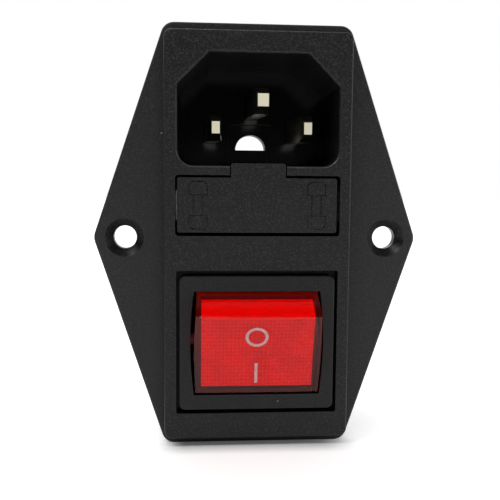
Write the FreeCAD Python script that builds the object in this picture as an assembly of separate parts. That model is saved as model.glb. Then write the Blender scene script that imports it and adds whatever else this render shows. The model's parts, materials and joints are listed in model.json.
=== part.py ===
import FreeCAD
import Part
import math
import os

# Power entry module: a three-pin appliance inlet, a twin-fuse drawer and a lit rocker switch in one
# moulded housing that screws to a panel. X is to the right seen from the front, Z is up and the front
# faces -Y. The origin is the centre of the flange's rear face, on the line through both screw holes.
# All sizes are in millimetres.

# Flange and bezel
flange_thick = 2.7
flange_height = 64.0
flange_end_inset = 0.05
flange_tip_half = 24.68
flange_corner_r = 2.0
flange_tip_r = 2.5
bezel_raise = 2.4
bezel_side = 1.95
bezel_height = 61.1
bezel_corner_r = 1.15
edge_round = 0.3

# Screw holes
screw_spacing = 40.0
screw_hole_d = 3.5
countersink_d = 5.9

# Rear body
body_step = 0.25
body_height = 57.6
body_corner_r = 1.0
body_wall = 1.6
bay_corner_r = 0.8
panel_thick = 1.5

# Inlet cavity
inlet_width = 24.1
inlet_height = 16.5
inlet_bottom_z = 10.82
inlet_depth = 17.0
inlet_chamfer = 4.7
inlet_bottom_r = 2.4
inlet_corner_r = 0.4
inlet_rim_r = 0.35
inlet_base_thick = 2.5
keyhole_d = 5.1
keyhole_z = 13.95
keyhole_groove_depth = 0.5
boss_width = 6.9
boss_height = 5.8
boss_raise = 1.4
boss_mouth_gap = 0.15
column_width = 7.6
column_raise = 0.35

# Inlet pins
pin_width = 2.0
pin_height = 4.0
pin_spacing = 14.0
pin_row_step = 4.0
pin_tip_length = 2.2
pin_slot_gap = 0.05
pin_shoulder = 0.6
side_pin_setback = 2.4
earth_pin_setback = 0.8
side_tip_width = 1.2
side_tip_height = 1.8
earth_tip_width = 1.65
earth_tip_height = 1.9
pin_lean_x = 0.70
pin_lean_z = -0.45
earth_tab_width = 6.3
tab_thick = 0.8
tab_hole_d = 1.5
tab_length = 6.0

# Fuse drawer slot
slot_side = 1.65
slot_height = 9.05
slot_bottom_z = 0.39
slot_corner_r = 0.5
slot_rear_wall = 2.4

# Fuse drawer
drawer_face_thick = 2.2
drawer_gap_left = 0.3
drawer_gap_right = 0.5
drawer_gap_top = 0.35
drawer_gap_bottom = 0.5
drawer_run_gap = 0.25
drawer_floor = 1.2
drawer_rib_width = 2.4
drawer_corner_r = 0.35
drawer_edge_r = 0.12
drawer_short = 1.0
tab_width = 8.2
tab_top_z = 11.22
tab_side_gap = 0.15
saddle_thick = 2.0
saddle_offset = 2.4
saddle_gap = 0.1
mark_height = 7.25
mark_cap_width = 2.9
mark_cap_height = 2.2
mark_chamfer = 0.55
mark_glass_width = 1.6
mark_spacing = 17.7
mark_line = 0.2
mark_depth = 0.15

# Fuses
fuse_length = 20.0
fuse_cap_d = 5.2
fuse_cap_length = 5.2
fuse_cap_wall = 0.2
fuse_glass_wall = 0.6
fuse_wire_d = 0.3
fuse_inset = 5.35
fuse_end_gap = 0.1
contact_gap = 0.25

# Fuse contacts
clip_thick = 0.5
clip_width = 4.4
clip_bow_half = 2.9
clip_bow_shift = 0.5
clip_gap = 0.05
leaf_width = 4.0
leaf_thick = 0.8
leaf_bend_r = 0.5
leaf_gap = 0.15
leaf_short = 0.4
leaf_rear_gap = 1.35

# Switch recess, frame and tub
switch_z = -15.85
recess_depth = 2.2
recess_gap_top = 0.85
recess_gap_bottom = 0.65
recess_gap_side = 0.48
recess_corner_r = 0.3
plate_thick = 2.0
frame_width = 23.43
frame_height = 20.4
frame_proud = 0.15
frame_corner_r = 0.9
frame_edge_r = 0.2
opening_height = 15.76
opening_end_half = 9.55
opening_mid_half = 10.1
tub_half_width = 10.95
tub_half_height = 9.5
tub_corner_r = 0.4
tub_gap = 0.15
tub_floor = 1.5
latch_height = 0.75
latch_width = 4.0
latch_length = 3.4
latch_crest = 0.6
latch_play = 0.1
latch_offset = 5.2
latch_window_gap = 0.5
divider_thick = 1.2

# Rocker
rocker_pivot_depth = 3.67
rocker_tilt = 15.2
rocker_end_gap = 0.3
rocker_pressed_rise = 0.1
rocker_dish = 0.4
rocker_end_half = 9.1
rocker_mid_half = 9.55
rocker_wall = 1.0
rocker_skirt = 1.03
rocker_edge_r = 0.12
shell_gap = 0.1
diffuser_wall = 0.9
diffuser_half_width = 8.45
diffuser_skirt = 1.95
carrier_thick = 1.2
carrier_top = 0.93
carrier_half_width = 9.0
carrier_end_gap = 0.25
trunnion_r = 0.9
trunnion_gap = 0.08
trunnion_reach = 10.8
ear_r = 1.8
ear_thick = 0.9

# Lamp in the rocker
lamp_r = 1.25
lamp_length = 8.0
lamp_height = 1.7
lamp_end_r = 0.75
lamp_pip_r = 0.44
lamp_pip_tip_r = 0.15
lamp_pip_length = 0.8
lamp_trough_gap = 0.1
lamp_trough_end = 0.8
lamp_lift = 0.05
resistor_r = 0.85
resistor_end_r = 0.25
resistor_length = 5.0
resistor_offset = 4.3
lead_d = 0.4
lead_spread = 0.6
lead_turn = 1.2
lead_end_gap = 0.5

# Switch mechanism
pole_spacing = 10.0
leg_r = 2.3
leg_length = 8.0
plunger_r = 1.5
plunger_tip = 12.5
plunger_shaft = 7.3
plunger_spigot_r = 0.75
plunger_spigot = 1.4
plunger_gap = 0.1
spring_r = 1.2
spring_wire_d = 0.4
spring_turns = 5
spring_wire_sides = 8
spring_end_gap = 0.05
lever_tilt = 9.0
lever_slope = 19.0
lever_lift = 0.55
lever_width = 3.6
lever_thick = 0.6
lever_arm = 3.9
lever_reach = 6.8
contact_place = 5.6
contact_r = 1.2
contact_thick = 0.4
contact_clear = 0.1
contact_margin = 0.2
fulcrum_gap = 0.08
notch_r = 0.3
prong_gap = 0.2
prong_width = 0.5
prong_height = 1.2
terminal_width = 4.8
terminal_gap = 0.05
end_terminal_place = 7.0
switch_tab_length = 4.0
floor_below_fulcrum = 1.9
lever_stop_gap = 0.25
lever_stop_length = 1.6

# Working allowances: shapes that are fused reach into each other, and cutters run past a face
lap = 0.5
past = 1.0

# Places worked out from the sizes above
bezel_width = inlet_width + 2 * bezel_side
flange_end_half = bezel_width / 2 - flange_end_inset
body_width = bezel_width - 2 * body_step
slot_width = bezel_width - 2 * slot_side
fuse_x = slot_width / 2 - fuse_inset
front_y = -(flange_thick + bezel_raise)
base_y = front_y + inlet_depth
base_rear_y = base_y + inlet_base_thick
slot_top_z = slot_bottom_z + slot_height
slot_mid_z = slot_bottom_z + slot_height / 2
body_inner_half = body_width / 2 - body_wall
inlet_top_z = inlet_bottom_z + inlet_height
inlet_mid_z = inlet_bottom_z + inlet_height / 2
side_pin_z = inlet_mid_z - pin_row_step / 2
earth_pin_z = inlet_mid_z + pin_row_step / 2
drawer_rear_face_y = front_y + drawer_face_thick
fuse_front_y = drawer_rear_face_y + fuse_end_gap
fuse_rear_y = fuse_front_y + fuse_length
leaf_y = fuse_rear_y + contact_gap
slot_rear_y = leaf_y + leaf_thick + leaf_rear_gap
body_depth = slot_rear_y + slot_rear_wall
tab_end_y = body_depth + tab_length
switch_tab_y = body_depth + switch_tab_length
recess_floor_y = front_y + recess_depth
plate_rear_y = recess_floor_y + plate_thick
bay_top_z = slot_bottom_z - body_wall
bay_bottom_z = -(body_height / 2 - body_wall)
opening_half = opening_height / 2
rocker_y = front_y - frame_proud + rocker_pivot_depth
rocker_r = math.hypot(opening_half - rocker_end_gap, rocker_pivot_depth)
rocker_span = math.degrees(math.acos((rocker_pivot_depth + rocker_pressed_rise) / rocker_r)) - rocker_tilt
lever_top_y = rocker_y + plunger_tip + lever_lift
fulcrum_y = lever_top_y + lever_thick
tub_floor_y = fulcrum_y + floor_below_fulcrum
tub_rear_y = tub_floor_y + tub_floor


def point(x, y, z):
    return FreeCAD.Vector(x, y, z)


def block(x0, x1, y0, y1, z0, z1):
    return Part.makeBox(x1 - x0, y1 - y0, z1 - z0, point(x0, y0, z0))


def rod(axis, radius, start, length):
    # A cylinder along one of the three axes, from its start point.
    directions = {"x": point(1, 0, 0), "y": point(0, 1, 0), "z": point(0, 0, 1)}
    return Part.makeCylinder(radius, length, start, directions[axis])


def corner_arc(before, corner, after, radius):
    # The start, middle and end of the arc that rounds a corner between two straight sides.
    to_before = (before - corner).normalize()
    to_after = (after - corner).normalize()
    half_angle = to_before.getAngle(to_after) / 2
    inward = (to_before + to_after).normalize()
    setback = radius / math.tan(half_angle)
    centre = corner + inward * (radius / math.sin(half_angle))
    return corner + to_before * setback, centre - inward * radius, corner + to_after * setback


def rounded_face(corners, radii):
    # A flat face with straight sides, each corner rounded to its own radius or left sharp at 0.
    count = len(corners)
    arcs = []
    for i in range(count):
        if radii[i] > 0:
            arcs.append(corner_arc(corners[i - 1], corners[i], corners[(i + 1) % count], radii[i]))
        else:
            arcs.append((corners[i], None, corners[i]))
    edges = []
    for i in range(count):
        start, middle, end = arcs[i]
        if middle is not None:
            edges.append(Part.Arc(start, middle, end).toShape())
        following = arcs[(i + 1) % count][0]
        if end.distanceToPoint(following) > 1e-6:
            edges.append(Part.LineSegment(end, following).toShape())
    return Part.Face(Part.Wire(edges))


def front_prism(corners, radii, y0, y1):
    # An outline drawn in X and Z, pushed through from y0 to y1.
    face = rounded_face([point(x, y0, z) for x, z in corners], radii)
    return face.extrude(point(0, y1 - y0, 0))


def side_prism(corners, radii, x0, x1):
    # An outline drawn in Y and Z, pushed through from x0 to x1.
    face = rounded_face([point(x0, y, z) for y, z in corners], radii)
    return face.extrude(point(x1 - x0, 0, 0))


def rounded_block(half_width, z0, z1, radius, y0, y1, centre_x=0.0):
    left = centre_x - half_width
    right = centre_x + half_width
    corners = [(left, z0), (right, z0), (right, z1), (left, z1)]
    return front_prism(corners, [radius] * 4, y0, y1)


def barrel(end_half, mid_half, half_height, y0, y1):
    # A block about the switch's centre whose left and right sides bulge outwards as arcs.
    low = switch_z - half_height
    high = switch_z + half_height
    right = Part.Arc(point(end_half, y0, low), point(mid_half, y0, switch_z), point(end_half, y0, high))
    left = Part.Arc(point(-end_half, y0, high), point(-mid_half, y0, switch_z), point(-end_half, y0, low))
    top = Part.LineSegment(point(end_half, y0, high), point(-end_half, y0, high))
    bottom = Part.LineSegment(point(-end_half, y0, low), point(end_half, y0, low))
    wire = Part.Wire([right.toShape(), top.toShape(), left.toShape(), bottom.toShape()])
    return Part.Face(wire).extrude(point(0, y1 - y0, 0))


def edges_in_plane(shape, y, keep):
    # The edges that lie in the plane at y and whose middle passes the test on x and z.
    found = []
    for edge in shape.Edges:
        box = edge.BoundBox
        if abs(box.YMin - y) < 1e-4 and abs(box.YMax - y) < 1e-4:
            centre = box.Center
            if keep(centre.x, centre.z):
                found.append(edge)
    return found


def turned(shape, degrees, y, z):
    # Turned about an axis along X through the point y, z.
    copy = shape.copy()
    copy.rotate(point(0, y, z), point(1, 0, 0), degrees)
    return copy


def plate_tab(centre_x, centre_z, width, y0, y1, along):
    # A flat quick-connect tab that leaves the back, with a chamfered end and a detent hole.
    nose = width / 5
    half = width / 2
    corners = [(y0, -half), (y1 - nose, -half), (y1, nose - half), (y1, half - nose),
               (y1 - nose, half), (y0, half)]
    hole_y = y1 - width / 2
    if along == "z":
        outline = [point(centre_x - tab_thick / 2, y, centre_z + s) for y, s in corners]
        push = point(tab_thick, 0, 0)
        hole = rod("x", tab_hole_d / 2, point(centre_x - tab_thick, hole_y, centre_z), 2 * tab_thick)
    else:
        outline = [point(centre_x + s, y, centre_z - tab_thick / 2) for y, s in corners]
        push = point(0, 0, tab_thick)
        hole = rod("z", tab_hole_d / 2, point(centre_x, hole_y, centre_z - tab_thick), 2 * tab_thick)
    return rounded_face(outline, [0] * len(outline)).extrude(push).cut(hole)


# Housing

def flange():
    end = flange_end_half
    top = flange_height / 2
    corners = [(-end, -top), (end, -top), (flange_tip_half, 0), (end, top), (-end, top),
               (-flange_tip_half, 0)]
    radii = [flange_corner_r, flange_corner_r, flange_tip_r] * 2
    plate = front_prism(corners, radii, -flange_thick, 0)
    rim = edges_in_plane(plate, -flange_thick, lambda x, z: True)
    return plate.makeFillet(edge_round, rim)


def bezel():
    raised = rounded_block(bezel_width / 2, -bezel_height / 2, bezel_height / 2, bezel_corner_r, front_y,
                           -flange_thick / 2)
    return raised.makeFillet(edge_round, edges_in_plane(raised, front_y, lambda x, z: True))


def screw_holes():
    cutters = []
    sink_depth = (countersink_d - screw_hole_d) / 2
    for side in (-1, 1):
        x = side * screw_spacing / 2
        hole = rod("y", screw_hole_d / 2, point(x, -flange_thick - past, 0), flange_thick + 2 * past)
        sink = Part.makeCone(countersink_d / 2 + past, screw_hole_d / 2, sink_depth + past,
                             point(x, -flange_thick - past, 0), point(0, 1, 0))
        cutters.append(hole.fuse(sink))
    return cutters


def inlet_outline():
    half = inlet_width / 2
    shoulder_z = inlet_top_z - inlet_chamfer
    return [(-half, inlet_bottom_z), (half, inlet_bottom_z), (half, shoulder_z),
            (half - inlet_chamfer, inlet_top_z), (inlet_chamfer - half, inlet_top_z), (-half, shoulder_z)]


def inlet_cavity():
    radii = [inlet_bottom_r] * 2 + [inlet_corner_r] * 4
    return front_prism(inlet_outline(), radii, front_y - past, base_y)


def inlet_base_relief():
    # The raised boss round the earth pin and the low column under it, on the cavity's base wall.
    boss_bottom = earth_pin_z - boss_height / 2
    boss = block(-boss_width / 2, boss_width / 2, base_y - boss_raise, base_y + lap,
                 boss_bottom, boss_bottom + boss_height)
    column = block(-column_width / 2, column_width / 2, base_y - column_raise, base_y + lap,
                   inlet_bottom_z - lap, boss_bottom + lap)
    return boss.fuse(column)


def keyhole():
    # A half-round hole through the base wall, with a shallow groove from its flat down to the floor.
    radius = keyhole_d / 2
    start_y = base_y - column_raise - past
    end_y = base_rear_y + past
    whole = rod("y", radius, point(0, start_y, keyhole_z), end_y - start_y)
    upper = block(-radius, radius, start_y, end_y, keyhole_z, keyhole_z + radius)
    groove = block(-radius, radius, start_y, base_y + keyhole_groove_depth, inlet_bottom_z, keyhole_z + lap)
    return whole.common(upper).fuse(groove)


def pin_places():
    # Each pin's x and z where it leaves the base wall.
    half = pin_spacing / 2
    return {"line_pin": (-half, side_pin_z), "neutral_pin": (half, side_pin_z),
            "earth_pin": (0.0, earth_pin_z)}


def pin_slots():
    # Close slots through the base wall, and a wider mouth through the boss that leaves the lean free.
    cutters = []
    half_w = pin_width / 2 + pin_slot_gap
    half_h = pin_height / 2 + pin_slot_gap
    for x, z in pin_places().values():
        cutters.append(block(x - half_w, x + half_w, base_y - lap, base_rear_y + past,
                             z - half_h, z + half_h))
        mouth_w = half_w + boss_mouth_gap
        mouth_h = half_h + boss_mouth_gap
        cutters.append(block(x - mouth_w, x + mouth_w, base_y - boss_raise - past, base_y,
                             z - mouth_h, z + mouth_h))
    return cutters


def leaf_slits():
    # Slits in the drawer slot's ceiling that let the side pins' tails down to the fuses.
    half = leaf_width / 2 + leaf_gap
    slits = []
    for side in (-1, 1):
        x = side * pin_spacing / 2
        slits.append(block(x - half, x + half, leaf_y - leaf_gap, leaf_y + leaf_thick + leaf_gap,
                           slot_top_z - lap, inlet_bottom_z + lap))
    return slits


def clip_slits():
    # Slits in the slot's rear wall for the tabs of the fuse side contacts.
    half = clip_width / 2 + clip_gap
    outer = slot_width / 2
    inner = outer - clip_thick - 2 * clip_gap
    slits = []
    for side in (-1, 1):
        x0, x1 = sorted((side * inner, side * outer))
        slits.append(block(x0, x1, slot_rear_y - past, body_depth + past,
                           slot_mid_z - half, slot_mid_z + half))
    return slits


def latch_windows():
    # Windows in the body's sides, behind the panel, through which the switch latches are released.
    windows = []
    half = latch_width / 2 + latch_window_gap
    for side in (-1, 1):
        x0, x1 = sorted((side * (body_inner_half - past), side * (body_width / 2 + past)))
        for offset in (-latch_offset, latch_offset):
            z = switch_z + offset
            windows.append(block(x0, x1, panel_thick, panel_thick + latch_length, z - half, z + half))
    return windows


def housing():
    shell = flange().fuse(bezel())
    shell = shell.fuse(rounded_block(body_width / 2, -body_height / 2, body_height / 2, body_corner_r,
                                     -flange_thick / 2, body_depth))
    shell = shell.removeSplitter()
    shell = shell.cut(inlet_cavity())
    rim = edges_in_plane(shell, front_y, lambda x, z: z > slot_top_z and abs(x) < inlet_width / 2 + lap
                         and z < inlet_top_z + lap)
    shell = shell.makeFillet(inlet_rim_r, rim)
    shell = shell.fuse(inlet_base_relief())

    slot = rounded_block(slot_width / 2, slot_bottom_z, slot_top_z, slot_corner_r, front_y - past,
                         slot_rear_y)
    notch_half = tab_width / 2 + tab_side_gap
    notch = block(-notch_half, notch_half, front_y - past, drawer_rear_face_y + drawer_run_gap,
                  slot_top_z - lap, tab_top_z + lap)
    pocket = rounded_block(body_inner_half, inlet_bottom_z, body_height / 2 - body_wall, bay_corner_r,
                           base_rear_y, body_depth + past)
    recess = rounded_block(frame_width / 2 + recess_gap_side,
                           switch_z - frame_height / 2 - recess_gap_bottom,
                           switch_z + frame_height / 2 + recess_gap_top,
                           recess_corner_r, front_y - past, recess_floor_y)
    aperture = rounded_block(tub_half_width + tub_gap, switch_z - tub_half_height - tub_gap,
                             switch_z + tub_half_height + tub_gap, tub_corner_r, front_y, body_depth)
    bay = rounded_block(body_inner_half, bay_bottom_z, bay_top_z, bay_corner_r, plate_rear_y,
                        body_depth + past)
    cutters = [slot, notch, pocket, recess, aperture, bay, keyhole()]
    cutters += screw_holes() + pin_slots() + leaf_slits() + clip_slits() + latch_windows()
    for cutter in cutters:
        shell = shell.cut(cutter)
    return shell.removeSplitter()


# Inlet pins

def rectangle_wire(x, y, z, width, height):
    half_w = width / 2
    half_h = height / 2
    corners = [point(x - half_w, y, z - half_h), point(x + half_w, y, z - half_h),
               point(x + half_w, y, z + half_h), point(x - half_w, y, z + half_h)]
    return Part.makePolygon(corners + corners[:1])


def pin_blade(x, z, setback, tip_width, tip_height):
    # The contact part in the cavity: bent slightly off square, with a coined, tapered tip.
    tip_y = front_y + setback
    taper_y = tip_y + pin_tip_length
    share = (base_y - taper_y) / (base_y - tip_y)
    root = rectangle_wire(x, base_y, z, pin_width, pin_height)
    shoulder = rectangle_wire(x + pin_lean_x * share, taper_y, z + pin_lean_z * share, pin_width, pin_height)
    tip = rectangle_wire(x + pin_lean_x, tip_y, z + pin_lean_z, tip_width, tip_height)
    shaft = Part.makeLoft([root, shoulder], True, True)
    nose = Part.makeLoft([shoulder, tip], True, True)
    return shaft.fuse(nose)


def pin_root(x, z):
    # The straight part through the base wall and the staked shoulder behind it.
    half_w = pin_width / 2
    half_h = pin_height / 2
    stem = block(x - half_w, x + half_w, base_y, base_rear_y + pin_shoulder, z - half_h, z + half_h)
    stake = block(x - half_w - pin_shoulder, x + half_w + pin_shoulder, base_rear_y,
                  base_rear_y + pin_shoulder, z - half_h - pin_shoulder, z + half_h + pin_shoulder)
    return stem.fuse(stake)


def side_pin(x, z):
    # The tail bends down behind the fuse and presses on its rear cap.
    start_y = base_rear_y + pin_shoulder
    low = slot_mid_z - fuse_cap_d / 2 + leaf_short
    half = leaf_thick / 2
    rear = leaf_y + leaf_thick
    corners = [(start_y, z - half), (leaf_y, z - half), (leaf_y, low), (rear, low), (rear, z + half),
               (start_y, z + half)]
    radii = [0, leaf_bend_r, 0, 0, leaf_bend_r + leaf_thick, 0]
    tail = side_prism(corners, radii, x - leaf_width / 2, x + leaf_width / 2)
    blade = pin_blade(x, z, side_pin_setback, side_tip_width, side_tip_height)
    return blade.fuse(pin_root(x, z)).fuse(tail).removeSplitter()


def earth_pin(x, z):
    tab = plate_tab(x, z, earth_tab_width, base_rear_y + pin_shoulder, tab_end_y, "z")
    blade = pin_blade(x, z, earth_pin_setback, earth_tip_width, earth_tip_height)
    return blade.fuse(pin_root(x, z)).fuse(tab).removeSplitter()


# Fuse drawer and fuses

def mark_cap(centre_x, inner_z, outer_z, inset):
    # A cutter in a fuse cap's outline, chamfered at its outer corners and set in by an inset.
    half = mark_cap_width / 2 - inset
    way = 1 if outer_z > inner_z else -1
    chamfer = mark_chamfer - inset / 2
    inner = inner_z + way * inset
    outer = outer_z - way * inset
    corners = [(centre_x - half, inner), (centre_x - half, outer - way * chamfer),
               (centre_x - half + chamfer, outer), (centre_x + half - chamfer, outer),
               (centre_x + half, outer - way * chamfer), (centre_x + half, inner)]
    return front_prism(corners, [0] * len(corners), front_y - past, front_y + mark_depth)


def fuse_mark(centre_x):
    # The fine grooves that draw a fuse on the drawer's face: two caps and the glass between them.
    middle = (slot_bottom_z + drawer_gap_bottom + slot_top_z - drawer_gap_top) / 2
    glass_half = mark_height / 2 - mark_cap_height
    line_half = mark_line / 2
    grooves = []
    for way in (-1, 1):
        inner_z = middle + way * glass_half
        outer_z = middle + way * mark_height / 2
        cap = mark_cap(centre_x, inner_z, outer_z, 0.0)
        grooves.append(cap.cut(mark_cap(centre_x, inner_z, outer_z, mark_line)))
        x = centre_x + way * (mark_glass_width / 2 - line_half)
        grooves.append(block(x - line_half, x + line_half, front_y - past, front_y + mark_depth,
                             middle - glass_half, middle + glass_half))
    return grooves


def fuse_drawer():
    left = -slot_width / 2 + drawer_gap_left
    right = slot_width / 2 - drawer_gap_right
    face = rounded_block((right - left) / 2, slot_bottom_z + drawer_gap_bottom, slot_top_z - drawer_gap_top,
                         drawer_corner_r, front_y, drawer_rear_face_y, (left + right) / 2)
    finger_tab = rounded_block(tab_width / 2, slot_mid_z, tab_top_z, drawer_corner_r, front_y,
                               drawer_rear_face_y)
    plate = face.fuse(finger_tab).removeSplitter()
    plate = plate.makeFillet(drawer_edge_r, edges_in_plane(plate, front_y, lambda x, z: True))
    for side in (-1, 1):
        for groove in fuse_mark((left + right) / 2 + side * mark_spacing / 2):
            plate = plate.cut(groove)

    half = slot_width / 2 - drawer_run_gap
    rear_y = fuse_rear_y - drawer_short
    low = slot_bottom_z + drawer_gap_bottom
    floor = block(-half, half, drawer_rear_face_y - lap, rear_y, low, low + drawer_floor)
    rib = block(-drawer_rib_width / 2, drawer_rib_width / 2, drawer_rear_face_y - lap, rear_y,
                low, slot_top_z - drawer_run_gap)
    tray = plate.fuse(floor).fuse(rib)
    reach = fuse_x + saddle_thick
    for offset in (-saddle_offset, saddle_offset):
        y = fuse_front_y + fuse_length / 2 + offset
        tray = tray.fuse(block(-reach, reach, y - saddle_thick / 2, y + saddle_thick / 2, low, slot_mid_z))
    glass_r = fuse_cap_d / 2 - fuse_cap_wall
    for side in (-1, 1):
        start = point(side * fuse_x, fuse_front_y, slot_mid_z)
        tray = tray.cut(rod("y", glass_r + saddle_gap, start, fuse_length))
    return tray.removeSplitter()


def fuse_parts(side):
    # The glass tube, its two end caps and the wire between them.
    cap_r = fuse_cap_d / 2
    glass_r = cap_r - fuse_cap_wall
    end = fuse_cap_wall

    def along(radius, y0, y1):
        return rod("y", radius, point(side * fuse_x, y0, slot_mid_z), y1 - y0)

    glass = along(glass_r, fuse_front_y + end, fuse_rear_y - end)
    glass = glass.cut(along(glass_r - fuse_glass_wall, fuse_front_y, fuse_rear_y))
    front_cap = along(cap_r, fuse_front_y, fuse_front_y + fuse_cap_length)
    front_cap = front_cap.cut(along(glass_r, fuse_front_y + end, fuse_rear_y))
    rear_cap = along(cap_r, fuse_rear_y - fuse_cap_length, fuse_rear_y)
    rear_cap = rear_cap.cut(along(glass_r, fuse_front_y, fuse_rear_y - end))
    wire = along(fuse_wire_d / 2, fuse_front_y + end, fuse_rear_y - end)
    return {"glass": glass, "front_cap": front_cap, "rear_cap": rear_cap, "wire": wire}


def fuse_clip(side):
    # A strip along the slot's wall whose bow presses on the fuse's front cap; its rear end is a tab.
    outer = slot_width / 2 - clip_gap
    inner = outer - clip_thick
    apex = fuse_x + fuse_cap_d / 2 + contact_gap
    centre_y = fuse_front_y + fuse_cap_length / 2 + clip_bow_shift
    y0 = centre_y - clip_bow_half
    y1 = centre_y + clip_bow_half
    low = slot_mid_z - clip_width / 2

    def corner(x, y):
        return point(side * x, y, low)

    edges = [Part.Arc(corner(inner, y0), corner(apex, centre_y), corner(inner, y1)),
             Part.LineSegment(corner(inner, y1), corner(outer, y1)),
             Part.Arc(corner(outer, y1), corner(apex + clip_thick, centre_y), corner(outer, y0)),
             Part.LineSegment(corner(outer, y0), corner(inner, y0))]
    bow = Part.Face(Part.Wire([edge.toShape() for edge in edges])).extrude(point(0, 0, clip_width))
    x0, x1 = sorted((side * inner, side * outer))
    nose = clip_width / 5
    high = low + clip_width
    corners = [(y1, low), (tab_end_y - nose, low), (tab_end_y, low + nose), (tab_end_y, high - nose),
               (tab_end_y - nose, high), (y1, high)]
    strip = side_prism(corners, [0] * len(corners), x0, x1)
    hole_y = tab_end_y - clip_width / 2
    strip = strip.cut(rod("x", tab_hole_d / 2, point(x0 - past, hole_y, slot_mid_z), clip_thick + 2 * past))
    return bow.fuse(strip).removeSplitter()


# Switch body

def latch(side, z):
    # A wedge that snaps behind the housing's front plate.
    foot = side * (tub_half_width - latch_play)
    crest = side * (tub_half_width + latch_height)
    start = plate_rear_y + latch_play
    low = z - latch_width / 2
    corners = [point(foot, start, low), point(crest, start, low), point(crest, start + latch_crest, low),
               point(foot, start + latch_length, low)]
    return rounded_face(corners, [0] * len(corners)).extrude(point(0, 0, latch_width))


def floor_slots():
    slots = []
    half = terminal_width / 2 + terminal_gap
    thick = tab_thick / 2 + terminal_gap
    for side in (-1, 1):
        x = side * pole_spacing / 2
        for offset in (0.0, end_terminal_place):
            z = switch_z + offset
            slots.append(block(x - half, x + half, tub_floor_y - lap, tub_rear_y + past,
                               z - thick, z + thick))
    return slots


def switch_body():
    frame_front = front_y - frame_proud
    frame = rounded_block(frame_width / 2, switch_z - frame_height / 2, switch_z + frame_height / 2,
                          frame_corner_r, frame_front, recess_floor_y)
    frame = frame.makeFillet(frame_edge_r, edges_in_plane(frame, frame_front, lambda x, z: True))
    tub = rounded_block(tub_half_width, switch_z - tub_half_height, switch_z + tub_half_height, tub_corner_r,
                        recess_floor_y - lap, tub_rear_y)
    body = frame.fuse(tub)
    body = body.cut(barrel(opening_end_half, opening_mid_half, opening_half, frame_front - past, tub_floor_y))
    body = body.cut(rod("x", rocker_r + rocker_end_gap, point(-opening_end_half, rocker_y, switch_z),
                        2 * opening_end_half))
    hole_r = trunnion_r + trunnion_gap
    body = body.cut(rod("x", hole_r, point(-tub_half_width - past, rocker_y, switch_z),
                        2 * (tub_half_width + past)))
    divider = block(-divider_thick / 2, divider_thick / 2, rocker_y + leg_length, tub_floor_y + lap,
                    switch_z - opening_half - lap, switch_z + opening_half + lap)
    body = body.fuse(divider)
    stop_z = switch_z - lever_reach
    for side in (-1, 1):
        x = side * pole_spacing / 2
        body = body.fuse(block(x - lever_width / 2, x + lever_width / 2, fulcrum_y + lever_stop_gap,
                               tub_floor_y + lap, stop_z, stop_z + lever_stop_length))
        for offset in (-latch_offset, latch_offset):
            body = body.fuse(latch(side, switch_z + offset))
    for cutter in floor_slots():
        body = body.cut(cutter)
    return body.removeSplitter()


# Rocker, built level and then turned to its ON position

def rocker_turn(shape):
    return turned(shape, rocker_tilt, rocker_y, switch_z)


def dish(offset):
    # The cylinder that hollows the rocker's face, set back by an offset.
    half_chord = rocker_r * math.sin(math.radians(rocker_span))
    chord_height = rocker_r * math.cos(math.radians(rocker_span))
    dish_r = (half_chord ** 2 + rocker_dish ** 2) / (2 * rocker_dish)
    centre_y = rocker_y - (chord_height - rocker_dish + dish_r)
    return rod("x", dish_r + offset, point(-rocker_mid_half - past, centre_y, switch_z),
               2 * (rocker_mid_half + past))


def rocker_form(offset, skirt, half_width):
    # The rocker's side profile set in by an offset: round ends about the pivot and a dished face.
    drum = rod("x", rocker_r - offset, point(-half_width, rocker_y, switch_z), 2 * half_width)
    above = block(-half_width, half_width, rocker_y - rocker_r - past, rocker_y - skirt,
                  switch_z - rocker_r, switch_z + rocker_r)
    return drum.common(above).cut(dish(offset))


def rocker_cap():
    solid = rocker_form(0.0, rocker_skirt, rocker_mid_half)
    solid = solid.common(barrel(rocker_end_half, rocker_mid_half, rocker_r, rocker_y - rocker_r - past,
                                rocker_y))
    ridges = [edge for edge in solid.Edges if edge.BoundBox.XLength > rocker_end_half
              and edge.BoundBox.YLength < 1e-4 and edge.BoundBox.YMin < rocker_y - rocker_skirt - lap]
    solid = solid.makeFillet(rocker_edge_r, ridges)
    hollow = rocker_form(rocker_wall, rocker_skirt - lap, diffuser_half_width + shell_gap)
    return rocker_turn(solid.cut(hollow).removeSplitter())


def rocker_diffuser():
    outer = rocker_form(rocker_wall + shell_gap, diffuser_skirt, diffuser_half_width)
    inner = rocker_form(rocker_wall + shell_gap + diffuser_wall, diffuser_skirt - lap,
                        diffuser_half_width - diffuser_wall)
    return rocker_turn(outer.cut(inner).removeSplitter())


def leg_x(side):
    return side * pole_spacing / 2


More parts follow.
